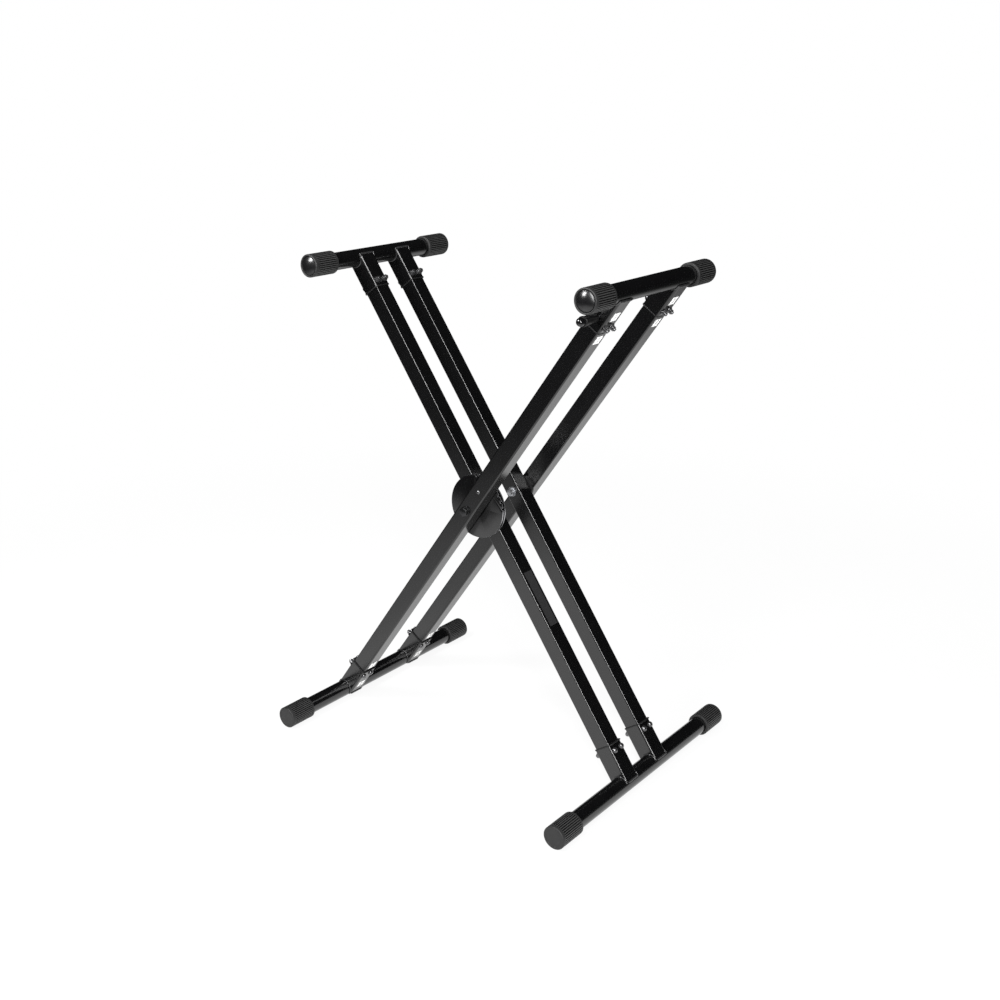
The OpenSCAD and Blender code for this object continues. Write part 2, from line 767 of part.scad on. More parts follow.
on_leg(outer) on_bar_end(top, near) dome_plug();  // outer_top_near_dome
on_leg(outer) on_bar_end(top, far) dome_plug();  // outer_top_far_dome
on_leg(inner) leg_tube(inner, near);  // inner_near_tube
on_leg(inner) leg_tube(inner, far);  // inner_far_tube
on_leg(inner) crossbar(top);  // inner_top_crossbar
on_leg(inner) crossbar(bottom);  // inner_bottom_crossbar
on_leg(inner) stub(inner, near, top);  // inner_top_near_stub
on_leg(inner) stub(inner, far, top);  // inner_top_far_stub
on_leg(inner) stub(inner, near, bottom);  // inner_bottom_near_stub
on_leg(inner) stub(inner, far, bottom);  // inner_bottom_far_stub
leg_collars(inner);  // inner_collars
leg_welds(inner);  // inner_welds
leg_screws(inner);  // inner_joint_screws
leg_nuts(inner);  // inner_joint_nuts
inner_label();
on_leg(inner) on_bar_end(top, near) domed_cap();  // inner_top_near_cap
on_leg(inner) on_bar_end(top, far) domed_cap();  // inner_top_far_cap
on_leg(inner) on_bar_end(bottom, near) flat_cap();  // inner_bottom_near_cap
on_leg(inner) on_bar_end(bottom, far) flat_cap();  // inner_bottom_far_cap
on_leg(inner) on_bar_end(top, near) dome_plug();  // inner_top_near_dome
on_leg(inner) on_bar_end(top, far) dome_plug();  // inner_top_far_dome
pivot_bushings(inner);  // inner_pivot_bushings
toothed_plate();
backing_plate();
pivot_bolt(near_head_y, near_nut_y - near_head_y);  // near_pivot_bolt
pivot_nut(near_nut_y);  // near_pivot_nut
pivot_bolt(far_head_y, far_nut_y - far_head_y);  // far_pivot_bolt
pivot_nut(far_nut_y);  // far_pivot_nut
pivot_washers();
pivot_bushings(outer);  // outer_pivot_bushings
plate_washer();
far_spacer();
stop_rivet();
lock_pawl();
pull_rod();
return_spring();
spring_seat();
trigger_block();
trigger_shank();
trigger_grip();
trigger_ball();
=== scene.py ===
import json
import math

import bmesh
import bpy
from mathutils import Matrix, Vector


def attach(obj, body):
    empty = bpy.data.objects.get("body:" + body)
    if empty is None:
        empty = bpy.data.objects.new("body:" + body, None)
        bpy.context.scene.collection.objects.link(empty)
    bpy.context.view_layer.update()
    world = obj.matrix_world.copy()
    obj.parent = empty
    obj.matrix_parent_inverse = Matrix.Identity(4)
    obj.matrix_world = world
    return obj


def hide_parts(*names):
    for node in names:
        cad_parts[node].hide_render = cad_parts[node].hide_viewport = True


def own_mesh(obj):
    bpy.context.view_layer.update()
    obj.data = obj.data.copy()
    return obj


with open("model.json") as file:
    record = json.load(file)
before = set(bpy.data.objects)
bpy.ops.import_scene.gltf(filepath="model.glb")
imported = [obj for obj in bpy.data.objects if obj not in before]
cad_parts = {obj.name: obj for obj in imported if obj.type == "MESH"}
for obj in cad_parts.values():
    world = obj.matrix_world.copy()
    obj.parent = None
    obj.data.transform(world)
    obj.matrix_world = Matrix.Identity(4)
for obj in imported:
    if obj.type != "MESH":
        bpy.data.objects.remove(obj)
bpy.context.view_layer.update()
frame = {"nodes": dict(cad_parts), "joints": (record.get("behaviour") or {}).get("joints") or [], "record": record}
nodes = frame["nodes"]
print("stage: frame loaded,", len(nodes), "pieces")

# Sizes that the stand's own pieces share, in metres, as in the part's source
stand = {
    "lean": math.radians(35.0),
    "upperLeg": 0.480,
    "lowerLeg": 0.520,
    "tube": 0.030,
    "stub": 0.0334,
    "tubesY": {"outer": (-0.0835, 0.0835), "inner": (-0.044, 0.048)},
    "topSpan": 0.344,
    "bottomSpan": 0.506,
}
pivot = Vector([j for j in frame["joints"] if j["name"] == "fold"][0]["pos_m"])


def grey(level):
    return (level, level, level, 1.0)


# A shader value: sums written on it add Math nodes
class Value:
    def __init__(self, look, socket):
        self.look, self.socket = look, socket

    def sum(self, operation, a, b):
        return self.look.node("ShaderNodeMath", {"operation": operation}, {0: a, 1: b})

    def __add__(self, other):
        return self.sum("ADD", self, other)

    def __radd__(self, other):
        return self.sum("ADD", other, self)

    def __sub__(self, other):
        return self.sum("SUBTRACT", self, other)

    def __rsub__(self, other):
        return self.sum("SUBTRACT", other, self)

    def __mul__(self, other):
        return self.sum("MULTIPLY", self, other)

    def __rmul__(self, other):
        return self.sum("MULTIPLY", other, self)

    def __truediv__(self, other):
        return self.sum("DIVIDE", self, other)


# A node tree under construction, for a material or the world
class Look:
    def __init__(self, name, owner=None):
        self.owner = owner or bpy.data.materials.new(name)
        self.owner.use_nodes = True
        self.tree = self.owner.node_tree
        self.tree.nodes.clear()

    def node(self, kind, settings=None, sockets=None, out=0):
        made = self.tree.nodes.new(kind)
        for key, setting in (settings or {}).items():
            if key == "stops":
                elements = made.color_ramp.elements
                while len(elements) < len(setting):
                    elements.new(1.0)
                for element, (place, shade) in zip(elements, setting):
                    element.position = place
                    element.color = grey(shade)
            else:
                setattr(made, key, setting)
        for key, value in (sockets or {}).items():
            if isinstance(value, Value):
                self.tree.links.new(value.socket, made.inputs[key])
            else:
                made.inputs[key].default_value = value
        return Value(self, made.outputs[out]) if len(made.outputs) else None

    def place(self):
        return self.node("ShaderNodeTexCoord", out="Object")

    def noise(self, scale, detail, rough=0.5, where=None):
        sockets = {"Vector": where or self.place(), "Scale": scale, "Detail": detail, "Roughness": rough}
        return self.node("ShaderNodeTexNoise", {"noise_dimensions": "3D"}, sockets)

    def spread(self, value, low, high):
        return self.node("ShaderNodeMapRange", None, {"Value": value, "To Min": low, "To Max": high})

    def mix(self, share, first, second):
        return self.node("ShaderNodeMix", {"data_type": "RGBA"}, {0: share, 6: first, 7: second}, out=2)

    def bump(self, height, depth, strength):
        sockets = {"Height": height, "Distance": depth, "Strength": strength}
        return self.node("ShaderNodeBump", None, sockets)

    def surface(self, **sockets):
        named = {key.replace("_", " "): value for key, value in sockets.items()}
        shader = self.node("ShaderNodeBsdfPrincipled", None, named)
        self.node("ShaderNodeOutputMaterial", None, {"Surface": shader})
        return self.owner


powderCoat = {
    "black": (0.0016, 0.0016, 0.0018, 1.0),
    "dusty": (0.0034, 0.0034, 0.0036, 1.0),
    "roughLow": 0.18,
    "roughHigh": 0.225,
    "peelScale": 240.0,
    "peelDepth": 0.000005,
    "peelStrength": 0.2,
    "wearScale": 38.0,
    "wearShare": 0.7,
    "gloss": 1.72,
}


def makePowderCoat():
    look = Look("blackPowderCoat")
    peel = look.noise(powderCoat["peelScale"], 0.0)
    wear = look.noise(powderCoat["wearScale"], 5.0, 0.6)
    uneven = wear * powderCoat["wearShare"] + peel * (1.0 - powderCoat["wearShare"])
    return look.surface(
        Base_Color=look.mix(wear, powderCoat["black"], powderCoat["dusty"]),
        Roughness=look.spread(uneven, powderCoat["roughLow"], powderCoat["roughHigh"]),
        IOR=powderCoat["gloss"],
        Normal=look.bump(peel, powderCoat["peelDepth"], powderCoat["peelStrength"]),
    )


# The bead's paler tone, mixed at random with black, is random crust tone and partly a painted highlight standing
# in for the lamp's reflection on the bead
weldCoat = {
    "black": (0.008, 0.008, 0.0083, 1.0),
    "burnt": (0.03, 0.03, 0.031, 1.0),
    "rough": (0.14, 0.26),
    "scale": 900.0,
    "depth": 0.00002,
    "strength": 0.5,
}


def makeBeadCoat():
    look = Look("weldBeadCoat")
    crust = look.noise(weldCoat["scale"], 4.0, 0.6)
    return look.surface(
        Base_Color=look.mix(crust, weldCoat["black"], weldCoat["burnt"]),
        Roughness=look.spread(crust, *weldCoat["rough"]),
        IOR=powderCoat["gloss"],
        Normal=look.bump(crust, weldCoat["depth"], weldCoat["strength"]),
    )


rubberCap = {
    "black": (0.013, 0.013, 0.0133, 1.0),
    "chalky": (0.022, 0.022, 0.022, 1.0),
    "rough": (0.42, 0.58),
    "grainScale": 1500.0,
    "grainDepth": 0.00004,
    "gloss": 1.42,
}
gripRubber = {
    "black": (0.007, 0.007, 0.0073, 1.0),
    "chalky": (0.012, 0.012, 0.012, 1.0),
    "rough": (0.36, 0.48),
    "grainScale": 1900.0,
    "grainDepth": 0.00003,
    "gloss": 1.5,
}
# Painted shade: the cap's groove floors are much darker and rougher than its rubber, standing in for the shade
# inside the grooves
rubberGrooveShade = {
    "black": (0.0012, 0.0012, 0.0012, 1.0),
    "chalky": (0.0035, 0.0035, 0.0035, 1.0),
    "rough": (0.7, 0.85),
    "grainScale": 1500.0,
    "grainDepth": 0.00004,
    "gloss": 1.12,
}
# Painted highlight: the rib faces are lighter than the cap's rubber, standing in for the sheen on their rounded
# tops
rubberRibHighlight = {
    "black": (0.028, 0.028, 0.0283, 1.0),
    "chalky": (0.042, 0.042, 0.042, 1.0),
    "rough": (0.34, 0.46),
    "grainScale": 1500.0,
    "grainDepth": 0.00003,
    "gloss": 1.5,
}
rubberChalk = {"scale": 70.0, "bumpStrength": 0.7}


def makeRubber(name, sizes):
    look = Look(name)
    grain = look.noise(sizes["grainScale"], 3.0, 0.6)
    chalk = look.noise(rubberChalk["scale"], 4.0, 0.6)
    return look.surface(
        Base_Color=look.mix(chalk, sizes["black"], sizes["chalky"]),
        Roughness=look.spread(chalk, *sizes["rough"]),
        IOR=sizes["gloss"],
        Normal=look.bump(grain, sizes["grainDepth"], rubberChalk["bumpStrength"]),
    )


glossPlastic = {
    "black": (0.003, 0.003, 0.0034, 1.0),
    "faint": (0.006, 0.006, 0.0064, 1.0),
    "hazeScale": 55.0,
    "rippleScale": 160.0,
    "rippleDepth": 0.00002,
    "plugRough": (0.24, 0.31),
    "ballRough": (0.04, 0.09),
}


def makeGloss(name, rough):
    look = Look(name)
    haze = look.noise(glossPlastic["hazeScale"], 4.0, 0.6)
    ripple = look.noise(glossPlastic["rippleScale"], 1.0, 0.4)
    return look.surface(
        Base_Color=look.mix(haze, glossPlastic["black"], glossPlastic["faint"]),
        Roughness=look.spread(haze, *rough),
        IOR=1.65,
        Normal=look.bump(ripple, glossPlastic["rippleDepth"], 0.4),
    )


matPlastic = {
    "black": (0.005, 0.005, 0.0053, 1.0),
    "pale": (0.009, 0.009, 0.0094, 1.0),
    "rough": (0.4, 0.54),
    "grainScale": 1300.0,
    "grainDepth": 0.00003,
    "cloudScale": 90.0,
}


def makePlastic():
    look = Look("matBlackPlastic")
    grain = look.noise(matPlastic["grainScale"], 3.0, 0.6)
    cloud = look.noise(matPlastic["cloudScale"], 3.0, 0.5)
    return look.surface(
        Base_Color=look.mix(cloud, matPlastic["black"], matPlastic["pale"]),
        Roughness=look.spread(grain, *matPlastic["rough"]),
        Normal=look.bump(grain, matPlastic["grainDepth"], 0.6),
    )


blackZinc = {"dark": (0.1, 0.1, 0.103, 1.0), "light": (0.2, 0.2, 0.204, 1.0), "rough": (0.2, 0.3)}
# A darker copy of the bolt zinc: painted shade on the near pivot bolt and the near half of the washers
boltZincShade = {"dark": (0.035, 0.035, 0.036, 1.0), "light": (0.07, 0.07, 0.072, 1.0), "rough": (0.16, 0.26)}
brightZinc = {"dark": (0.42, 0.43, 0.45, 1.0), "light": (0.6, 0.61, 0.63, 1.0), "rough": (0.24, 0.4)}
# Bright bare steel for the lock plates' rims: partly real wear, partly painted glints on their edges
wornSteelAndGlint = {"dark": (0.4, 0.4, 0.41, 1.0), "light": (0.62, 0.62, 0.64, 1.0), "rough": (0.16, 0.3)}
metalGrain = {"cloudScale": 420.0, "stretch": (60.0, 60.0, 2400.0), "depth": 0.00002, "metallic": 0.9}


def makeZinc(name, sizes):
    look = Look(name)
    cloud = look.noise(metalGrain["cloudScale"], 4.0, 0.6)
    drawn = look.node("ShaderNodeMapping", None, {"Vector": look.place(), "Scale": metalGrain["stretch"]})
    lines = look.noise(1.0, 3.0, 0.5, drawn)
    return look.surface(
        Base_Color=look.mix(cloud, sizes["dark"], sizes["light"]),
        Metallic=metalGrain["metallic"],
        Roughness=look.spread(cloud * 0.5 + lines * 0.5, *sizes["rough"]),
        Normal=look.bump(lines, metalGrain["depth"], 0.4),
    )


paper = {
    "white": (0.95, 0.95, 0.94, 1.0),
    "soft": (0.9, 0.9, 0.89, 1.0),
    "rough": (0.5, 0.7),
    "fibreScale": 2600.0,
    "fibreDepth": 0.00002,
}


def makePaper():
    look = Look("whitePaper")
    fibre = look.noise(paper["fibreScale"], 4.0, 0.65)
    return look.surface(
        Base_Color=look.mix(fibre, paper["white"], paper["soft"]),
        Roughness=look.spread(fibre, *paper["rough"]),
        Normal=look.bump(fibre, paper["fibreDepth"], 0.5),
    )


ink = {
    "black": grey(0.02),
    "thin": grey(0.05),
    "rough": (0.45, 0.6),
    "dotScale": 3200.0,
    "dotDepth": 0.00001,
}


def makeInk():
    look = Look("stickerInk")
    dots = look.noise(ink["dotScale"], 2.0, 0.5)
    return look.surface(
        Base_Color=look.mix(dots, ink["black"], ink["thin"]),
        Roughness=look.spread(dots, *ink["rough"]),
        Normal=look.bump(dots, ink["dotDepth"], 0.4),
    )


decal = {
    "grey": (0.014, 0.014, 0.0145, 1.0),
    "light": (0.026, 0.026, 0.0265, 1.0),
    "rough": (0.3, 0.42),
    "fibreScale": 900.0,
    "fibreDepth": 0.00002,
}


def makeDecal():
    look = Look("darkFilm")
    fibre = look.noise(decal["fibreScale"], 4.0, 0.6)
    return look.surface(
        Base_Color=look.mix(fibre, decal["grey"], decal["light"]),
        Roughness=look.spread(fibre, *decal["rough"]),
        Normal=look.bump(fibre, decal["fibreDepth"], 0.4),
    )


finishes = {
    "powder_coat": makePowderCoat(),
    "rubber": makeRubber("blackRubber", rubberCap),
    "grip_rubber": makeRubber("gripRubber", gripRubber),
    "gloss_plug": makeGloss("glossPlug", glossPlastic["plugRough"]),
    "gloss_ball": makeGloss("glossBall", glossPlastic["ballRough"]),
    "plastic": makePlastic(),
    "black_zinc": makeZinc("blackZinc", blackZinc),
    "bright_zinc": makeZinc("brightZinc", brightZinc),
    "sticker": makePaper(),
    "label": makeDecal(),
}
beadCoat = makeBeadCoat()
grooveShadeRubber = makeRubber("rubberGrooveShade", rubberGrooveShade)
ribHighlightRubber = makeRubber("rubberRibHighlight", rubberRibHighlight)
notchSteelAndGlint = makeZinc("wornSteelAndGlint", wornSteelAndGlint)
shadedBoltZinc = makeZinc("shadedBoltZinc", boltZincShade)
stickerInk = makeInk()
slotOf = {part["node"]: part["material_slot"] for part in frame["record"]["subparts"]}
for name, node in nodes.items():
    for place in range(len(node.material_slots)):
        node.material_slots[place].material = finishes[slotOf[name]]
print("stage: finishes on the frame,", len(finishes))

# Tools for the pieces below
weldDistance = 0.000002


def clearHands():
    if bpy.context.object and bpy.context.object.mode != "OBJECT":
        bpy.ops.object.mode_set(mode="OBJECT")
    bpy.ops.object.select_all(action="DESELECT")


def hold(piece):
    clearHands()
    piece.select_set(True)
    bpy.context.view_layer.objects.active = piece


def choose(piece, kind, test):
    bpy.ops.mesh.select_mode(type=kind)
    bpy.ops.mesh.select_all(action="DESELECT")
    shape = bmesh.from_edit_mesh(piece.data)
    for part in {"VERT": shape.verts, "FACE": shape.faces}[kind]:
        part.select_set(test(part.co if kind == "VERT" else part.calc_center_median()))
    shape.select_flush_mode()
    bmesh.update_edit_mesh(piece.data)


def lathe(name, profile, sides, closed=False):
    clearHands()
    radius, depth = profile[0]
    bpy.ops.mesh.primitive_circle_add(vertices=sides, radius=radius, location=(0, 0, depth))
    piece = bpy.context.object
    piece.name = name
    bpy.ops.object.transform_apply(location=True, rotation=True, scale=True)
    bpy.ops.object.mode_set(mode="EDIT")
    bpy.ops.mesh.select_all(action="SELECT")
    if not closed:
        bpy.ops.mesh.edge_face_add()
        bpy.ops.mesh.select_mode(type="EDGE")
        bpy.ops.mesh.select_all(action="SELECT")
    for newRadius, newDepth in profile[1:]:
        bpy.ops.mesh.extrude_edges_move(TRANSFORM_OT_translate={"value": (0, 0, newDepth - depth)})
        if newRadius != radius:
            share = newRadius / radius
            bpy.ops.transform.resize(value=(share, share, 1), center_override=(0, 0, newDepth))
        radius, depth = newRadius, newDepth
    if not closed:
        bpy.ops.mesh.edge_face_add()
    bpy.ops.mesh.select_all(action="SELECT")
    bpy.ops.mesh.remove_doubles(threshold=weldDistance)
    bpy.ops.mesh.normals_make_consistent(inside=False)
    bpy.ops.object.mode_set(mode="OBJECT")
    return piece


def soften(piece, width, angle):
    hold(piece)
    rounding = piece.modifiers.new("rounding", "BEVEL")
    rounding.width, rounding.segments = width, 2
    rounding.limit_method, rounding.angle_limit = "ANGLE", math.radians(angle)
    bpy.ops.object.modifier_apply(modifier=rounding.name)


def settle(piece, matrix):
    hold(piece)
    piece.matrix_world = matrix
    bpy.ops.object.transform_apply(location=True, rotation=True, scale=True)


def cloned(piece, name):
    copy = piece.copy()
    copy.data = piece.data.copy()
    copy.name = name
    bpy.context.collection.objects.link(copy)
    return copy


def twin(piece, name, matrix):
    copy = cloned(piece, name)
    settle(copy, matrix)
    return copy


def finish(piece, body, slot, *replaced, angle=35):
    hold(piece)
    bpy.ops.object.shade_smooth_by_angle(angle=math.radians(angle))
    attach(piece, body)
    if replaced:
        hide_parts(*replaced)


def arc(middle, radius, start, end, steps):
    turns = [math.radians(start + (end - start) * k / steps) for k in range(steps + 1)]
    return [(middle[0] + radius * math.cos(t), middle[1] + radius * math.sin(t)) for t in turns]


legSign = {"outer": 1, "inner": -1}
legMatrix = {leg: Matrix.Translation(pivot) @ Matrix.Rotation(sign * stand["lean"], 4, "Y")
             for leg, sign in legSign.items()}
endSign = {"top": 1, "bottom": -1}
sideSign = {"near": -1, "far": 1}


def barEnd(leg, end, side):
    reach = stand["upperLeg"] if end == "top" else -stand["lowerLeg"]
    span = stand["topSpan"] if end == "top" else stand["bottomSpan"]
    turn = Matrix.Rotation(sideSign[side] * math.radians(90), 4, "X")
    return legMatrix[leg] @ Matrix.Translation((0, sideSign[side] * span / 2, reach)) @ turn


cap = {
    "radius": 0.0195, "length": 0.054, "bevel": 0.0018, "innerBevel": 0.0012,
    "bore": 0.01502, "boreBevel": 0.0006, "ribs": 36, "facesPerRib": 6, "grooveShare": 3,
    "grooveDepth": 0.0011, "grooveSlope": 0.00014, "ribStart": 0.0062, "ribStop": 0.0042,
    "sideDepth": 0.0003,
    "front": {"top": ((0.0162, 0.00592), (0.0162, 0.0014), (0.0166, 0.0004), (0.0171, 0.0)),
              "bottom": ((0.0004, 0.0003), (0.0148, 0.0003), (0.0151, 0.0))},
    "floor": {"top": ((0.01502, 0.008), (0.01662, 0.008), (0.01662, 0.00598), (0.0162, 0.00592)),
              "bottom": ((0.01502, 0.004), (0.0004, 0.004))},
}


def ribbed(name, profile):
    sides = cap["ribs"] * cap["facesPerRib"]
    piece = lathe(name, profile, sides)
    for look in (finishes["rubber"], grooveShadeRubber, ribHighlightRubber):
        piece.data.materials.append(look)
    bpy.ops.object.mode_set(mode="EDIT")
    bpy.ops.mesh.select_all(action="SELECT")
    for depth in (cap["ribStart"], cap["length"] - cap["ribStop"]):
        choose(piece, "FACE", lambda middle: True)
        bpy.ops.mesh.bisect(plane_co=(0, 0, depth), plane_no=(0, 0, 1))
    step = 2 * math.pi / sides

    def onSide(middle):
        outside = math.hypot(middle.x, middle.y) > cap["radius"] - cap["sideDepth"]
        return outside and cap["ribStart"] < middle.z < cap["length"] - cap["ribStop"]

    def isGroove(middle):
        turn = math.atan2(middle.y, middle.x) % (2 * math.pi)
        return onSide(middle) and int(turn / step) % cap["facesPerRib"] < cap["grooveShare"]

    # Rib faces get the lighter rubber (painted highlight), groove floors the darker rubber (painted shade)
    choose(piece, "FACE", onSide)
    piece.active_material_index = 2
    bpy.ops.object.material_slot_assign()
    choose(piece, "FACE", isGroove)
    piece.active_material_index = 1
    bpy.ops.object.material_slot_assign()
    bpy.ops.mesh.inset(thickness=cap["grooveSlope"], depth=-cap["grooveDepth"])
    bpy.ops.object.mode_set(mode="OBJECT")
    return piece


def capProfile(barSide):
    r, b, length = cap["radius"], cap["bevel"], cap["length"]
    end, mouth = cap["innerBevel"], cap["boreBevel"]
    outer = arc((r - b, b), b, -90, 0, 4) + [(r, length - end)]
    inner = arc((r - end, length - end), end, 0, 90, 3)[1:]
    inner += [(cap["bore"] + mouth, length), (cap["bore"], length - mouth)]
    return [*cap["front"][barSide], *outer, *inner, *cap["floor"][barSide]]


def makeCaps():
    for end in ("top", "bottom"):
        first = None
        for leg in ("outer", "inner"):
            for side in ("near", "far"):
                name = leg + end.title() + side.title() + "Cap"
                if first is None:
                    first = ribbed(end + "CapModel", capProfile(end))
                piece = twin(first, name, barEnd(leg, end, side))
                finish(piece, leg + "_leg", "rubber", f"{leg}_{end}_{side}_cap", angle=40)
        bpy.data.objects.remove(first)


makeCaps()
print("stage: ribbed caps made")

plug = {
    "radius": 0.0154, "domeHeight": 0.0054, "domeRim": 0.001, "flange": 0.0166,
    "flangeThick": 0.002, "seat": 0.008, "seatGap": 0.00004, "stem": 0.01342,
    "stemLength": 0.0162, "stemBevel": 0.001, "sides": 96, "crownSteps": 14, "crownIn": 0.0004,
    "lip": ((-0.0001, 0.0002), (0.0, 0.0006)),
}


def makeDomes():
    r, h = plug["radius"], plug["domeHeight"]
    ball = (r * r + h * h) / (2 * h)
    rim, seat = plug["domeRim"], plug["seat"]
    flangeFront, flangeBack = seat - plug["flangeThick"], seat - plug["seatGap"]
    stem, stemEnd, soft = plug["stem"], seat + plug["stemLength"], plug["stemBevel"]
    edge = math.degrees(math.asin((r - plug["crownIn"]) / ball))
    crown = [(x, rim - h + ball - y) for y, x in arc((0, 0), ball, 1.2, edge, plug["crownSteps"])]
    profile = crown + [(r + out, crown[-1][1] + back) for out, back in plug["lip"]]
    profile += [(r, flangeFront), (plug["flange"], flangeFront), (plug["flange"], flangeBack)]
    profile += [(stem, flangeBack), (stem, stemEnd - soft), (stem - soft, stemEnd)]
    model = lathe("domeModel", profile, plug["sides"])
    model.data.materials.append(finishes["gloss_plug"])
    for leg in ("outer", "inner"):
        for side in ("near", "far"):
            piece = twin(model, leg + "Top" + side.title() + "Dome", barEnd(leg, "top", side))
            finish(piece, leg + "_leg", "gloss_plug", f"{leg}_top_{side}_dome", angle=30)
    bpy.data.objects.remove(model)


makeDomes()

trigger = {
    "up": 0.435, "gripStart": 0.0173, "gripEnd": 0.0553, "bore": 0.00302, "thick": 0.0082,
    "thin": 0.0055, "rounding": 0.0028, "ball": 0.0068, "ballOut": 0.0591, "neckIn": 0.0006,
    "taperStop": 0.0022, "sleeveSides": 72, "knobSides": 64, "knobSteps": 22,
    "lip": ((-0.0005, -0.0019), (-0.0005, -0.0015), (0.0, -0.0012), (0.0, -0.0004), (-0.0004, 0.0)),
}


def makeTrigger():
    middle = Matrix.Translation((0, stand["tubesY"]["outer"][0], trigger["up"]))
    place = legMatrix["outer"] @ middle @ Matrix.Rotation(math.radians(90), 4, "X")
    start, end = trigger["gripStart"], trigger["gripEnd"]
    thin, thick, soft = trigger["thin"], trigger["thick"], trigger["rounding"]
    taper = end - start - soft - trigger["taperStop"]
    side = [(thin + (thick - thin) * t, start + soft + taper * t) for t in (0.25, 0.5, 0.75, 1.0)]
    profile = [(trigger["bore"], start)] + arc((thin - soft, start + soft), soft, -90, 0, 6) + side
    profile += [(thick + out, end + along) for out, along in trigger["lip"]]
    profile += [(trigger["bore"], end), (trigger["bore"], start)]
    grip = lathe("triggerSleeve", profile, trigger["sleeveSides"], closed=True)
    grip.data.materials.append(finishes["grip_rubber"])
    settle(grip, place)
    finish(grip, "lock_trigger", "grip_rubber", "trigger_grip", angle=40)
    r, out = trigger["ball"], trigger["ballOut"]
    neck = math.sqrt(r * r - (out - end) ** 2)
    low = math.degrees(math.atan2(end - out, neck))
    globe = arc((0, out), r, low, 86, trigger["knobSteps"])
    knob = lathe("triggerKnob", [(neck - trigger["neckIn"], end)] + globe, trigger["knobSides"])
    knob.data.materials.append(finishes["gloss_ball"])
    settle(knob, place)
    finish(knob, "lock_trigger", "gloss_ball", "trigger_ball", angle=60)


makeTrigger()
print("stage: domes and trigger made")

# Pressed and machined metal gets soft edges: copies of the solids, with their edges rounded
softEdges = {
    "toothed_plate": ("inner_leg", 0.00035, 30), "backing_plate": ("inner_leg", 0.0004, 30),
    "near_pivot_bolt": ("outer_leg", 0.0004, 25), "far_pivot_bolt": ("outer_leg", 0.0004, 25),
    "near_pivot_nut": ("outer_leg", 0.0003, 25), "far_pivot_nut": ("outer_leg", 0.0003, 25),
    "pivot_washers": ("outer_leg", 0.00025, 30), "stop_rivet": ("outer_leg", 0.0003, 30),
    "outer_joint_screws": ("outer_leg", 0.00025, 30), "inner_joint_screws": ("inner_leg", 0.00025, 30),
    "outer_joint_nuts": ("outer_leg", 0.0003, 25), "inner_joint_nuts": ("inner_leg", 0.0003, 25),
    "outer_collars": ("outer_leg", 0.00035, 30), "inner_collars": ("inner_leg", 0.00035, 30),
}
flatAngle = math.radians(0.4)
# Plate rims past these radii get bright steel: partly wear, partly painted glints
rimWearAndGlint = {"toothed_plate": 0.0512, "backing_plate": 0.0538}
# Faces past these y get bright zinc as a painted glint and the rest the darker copy as painted shade: the near
# bolt all dark, the far bolt all bright, the washers split in half
pivotGlintFromY = {"far_pivot_bolt": -1.0, "near_pivot_bolt": 1.0, "pivot_washers": 0.0}


def camel(name):
    first, *rest = name.split("_")
    return first + "".join(word.title() for word in rest)


# Paints the pivot metal: a darker copy as shade on the near side, bright zinc as glints on the far side
def paintPivotShadeAndGlint(piece, glintFromY):
    piece.data.materials[0] = shadedBoltZinc
    piece.data.materials.append(finishes["bright_zinc"])
    for face in piece.data.polygons:
        if face.center.y > glintFromY:
            face.material_index = 1


# Rim and notch-wall faces get the bright steel, partly wear and partly painted glints
def paintRimWearAndGlint(piece, reach):
    piece.data.materials.append(notchSteelAndGlint)
    for face in piece.data.polygons:
        out = math.hypot(face.center.x - pivot.x, face.center.z - pivot.z)
        if out > reach and abs(face.normal.y) < 0.8:
            face.material_index = 1


def copyOf(name, title):
    clearHands()
    piece = cloned(nodes[name], title)
    piece.parent = None
    hold(piece)
    bpy.ops.object.mode_set(mode="EDIT")
    bpy.ops.mesh.select_all(action="SELECT")
    bpy.ops.mesh.remove_doubles(threshold=weldDistance)
    return piece


def makeSoftEdges():
    for name, (body, width, angle) in softEdges.items():
        piece = copyOf(name, camel(name))
        bpy.ops.mesh.dissolve_limited(angle_limit=flatAngle)
        bpy.ops.object.mode_set(mode="OBJECT")
        soften(piece, width, angle)
        if name in rimWearAndGlint:
            paintRimWearAndGlint(piece, rimWearAndGlint[name])
        if name in pivotGlintFromY:
            paintPivotShadeAndGlint(piece, pivotGlintFromY[name])
        finish(piece, body, slotOf[name], name, angle=32)


makeSoftEdges()
print("stage: soft edges on plates, bolts and collars")


def makeSpring():
    piece = copyOf("return_spring", "returnCoil")
    bpy.ops.object.mode_set(mode="OBJECT")
    finish(piece, "lock_trigger", "bright_zinc", "return_spring", angle=60)
    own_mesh(piece)


makeSpring()
print("stage: return spring made")

# Weld beads with the ripple of the real ones, one row on each face of a stub
bead = {
    "radius": 0.0019, "length": 0.0284, "pitch": 0.00105, "arcRadius": 0.0157, "arcThick": 0.0014,
    "arcSteps": 44, "ripple": (1.0, 0.8, 0.96, 0.78, 1.04, 0.84), "endSize": 0.7, "lift": 0.0008,
    "rowSides": 10, "arcSides": 8, "endReach": 0.0001,
}


def closeRing(piece, test):
    choose(piece, "VERT", test)
    bpy.ops.mesh.edge_face_add()


